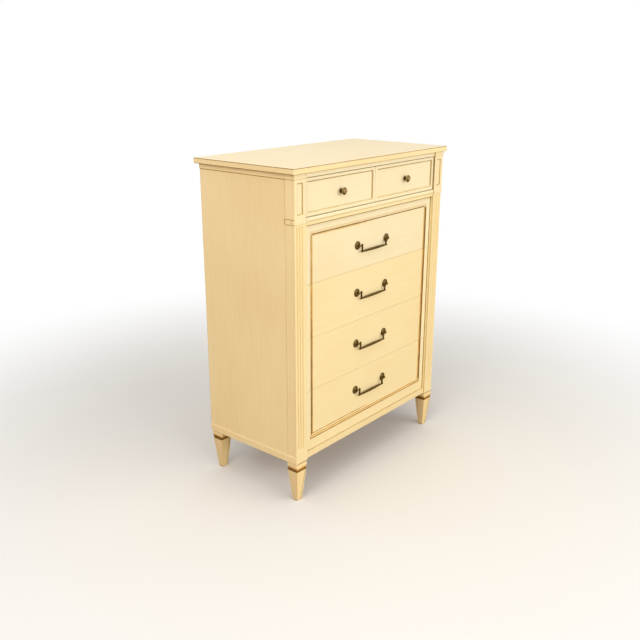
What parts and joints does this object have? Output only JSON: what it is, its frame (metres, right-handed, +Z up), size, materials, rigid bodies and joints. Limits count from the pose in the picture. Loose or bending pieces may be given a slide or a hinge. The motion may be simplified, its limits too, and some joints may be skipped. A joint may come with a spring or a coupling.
{
  "type": "highboy chest of drawers",
  "caption": "Painted highboy: small knobbed drawers over wide drawers with hanging bail pulls, in a case with fluted corner posts on tapered square feet.",
  "frame": {"origin": "on the floor, under the middle of the overall box", "axes": "+Z up, -Y out of the drawer fronts, +X to the right as seen from the front"},
  "size_m": [0.937, 0.4864, 1.24],
  "materials": {
    "painted_wood": "cream paint with a brown glaze rubbed into the grooves, satin",
    "case_wood": "bare softwood, sawn and planed",
    "drawer_wood": "bare hardwood, sanded",
    "back_board": "plain plywood",
    "antique_brass": "antiqued, dark in the hollows and rubbed bright on the edges",
    "steel": "plain"
  },
  "bodies": {
    "case": {"top_panel": "painted_wood", "right_post": "painted_wood", "left_post": "painted_wood", "right_side_panel": "painted_wood", "left_side_panel": "painted_wood", "back_stiles": "case_wood", "back_panel": "back_board", "bottom_board": "case_wood", "dust_boards": "case_wood", "upper_dust_board": "case_wood", "upper_divider": "case_wood", "top_front_rail": "case_wood", "top_back_rail": "case_wood", "front_frieze": "painted_wood", "mid_moulding": "painted_wood", "upper_rail": "painted_wood", "bottom_rail": "painted_wood", "base_mouldings": "painted_wood", "frieze_strips": "painted_wood", "wide_drawer_guides": "case_wood", "small_drawer_guides": "case_wood", "foot_bolts": "steel", "front_left_foot": "painted_wood", "front_right_foot": "painted_wood", "back_left_foot": "painted_wood", "back_right_foot": "painted_wood"},
    "upper_left_drawer": {"upper_left_front": "painted_wood", "upper_left_sides": "drawer_wood", "upper_left_back": "drawer_wood", "upper_left_bottom": "drawer_wood", "upper_left_knob": "antique_brass"},
    "upper_right_drawer": {"upper_right_front": "painted_wood", "upper_right_sides": "drawer_wood", "upper_right_back": "drawer_wood", "upper_right_bottom": "drawer_wood", "upper_right_knob": "antique_brass"},
    "drawer_1": {"drawer_1_front": "painted_wood", "drawer_1_sides": "drawer_wood", "drawer_1_back": "drawer_wood", "drawer_1_bottom": "drawer_wood", "drawer_1_pull_mounts": "antique_brass"},
    "bail_1_body": {"bail_1": "antique_brass"},
    "drawer_2": {"drawer_2_front": "painted_wood", "drawer_2_sides": "drawer_wood", "drawer_2_back": "drawer_wood", "drawer_2_bottom": "drawer_wood", "drawer_2_pull_mounts": "antique_brass"},
    "bail_2_body": {"bail_2": "antique_brass"},
    "drawer_3": {"drawer_3_front": "painted_wood", "drawer_3_sides": "drawer_wood", "drawer_3_back": "drawer_wood", "drawer_3_bottom": "drawer_wood", "drawer_3_pull_mounts": "antique_brass"},
    "bail_3_body": {"bail_3": "antique_brass"},
    "drawer_4": {"drawer_4_front": "painted_wood", "drawer_4_sides": "drawer_wood", "drawer_4_back": "drawer_wood", "drawer_4_bottom": "drawer_wood", "drawer_4_pull_mounts": "antique_brass"},
    "bail_4_body": {"bail_4": "antique_brass"}
  },
  "joints": [
    {"name": "upper_left_drawer_slide", "type": "slide", "parent": "case", "child": "upper_left_drawer", "axis": [0, -1, 0], "range_m": [0, 0.34]},
    {"name": "upper_right_drawer_slide", "type": "slide", "parent": "case", "child": "upper_right_drawer", "axis": [0, -1, 0], "range_m": [0, 0.34]},
    {"name": "drawer_1_slide", "type": "slide", "parent": "case", "child": "drawer_1", "axis": [0, -1, 0], "range_m": [0, 0.34]},
    {"name": "drawer_2_slide", "type": "slide", "parent": "case", "child": "drawer_2", "axis": [0, -1, 0], "range_m": [0, 0.34]},
    {"name": "drawer_3_slide", "type": "slide", "parent": "case", "child": "drawer_3", "axis": [0, -1, 0], "range_m": [0, 0.34]},
    {"name": "drawer_4_slide", "type": "slide", "parent": "case", "child": "drawer_4", "axis": [0, -1, 0], "range_m": [0, 0.34]},
    {"name": "bail_1_hinge", "type": "hinge", "parent": "drawer_1", "child": "bail_1_body", "pos_m": [0, -0.22795, 0.91958], "axis": [-1, 0, 0], "range_deg": [-15, 100]},
    {"name": "bail_2_hinge", "type": "hinge", "parent": "drawer_2", "child": "bail_2_body", "pos_m": [0, -0.22795, 0.73649], "axis": [-1, 0, 0], "range_deg": [-15, 100]},
    {"name": "bail_3_hinge", "type": "hinge", "parent": "drawer_3", "child": "bail_3_body", "pos_m": [0, -0.22795, 0.532], "axis": [-1, 0, 0], "range_deg": [-15, 100]},
    {"name": "bail_4_hinge", "type": "hinge", "parent": "drawer_4", "child": "bail_4_body", "pos_m": [0, -0.22795, 0.33729], "axis": [-1, 0, 0], "range_deg": [-15, 100]}
  ]
}
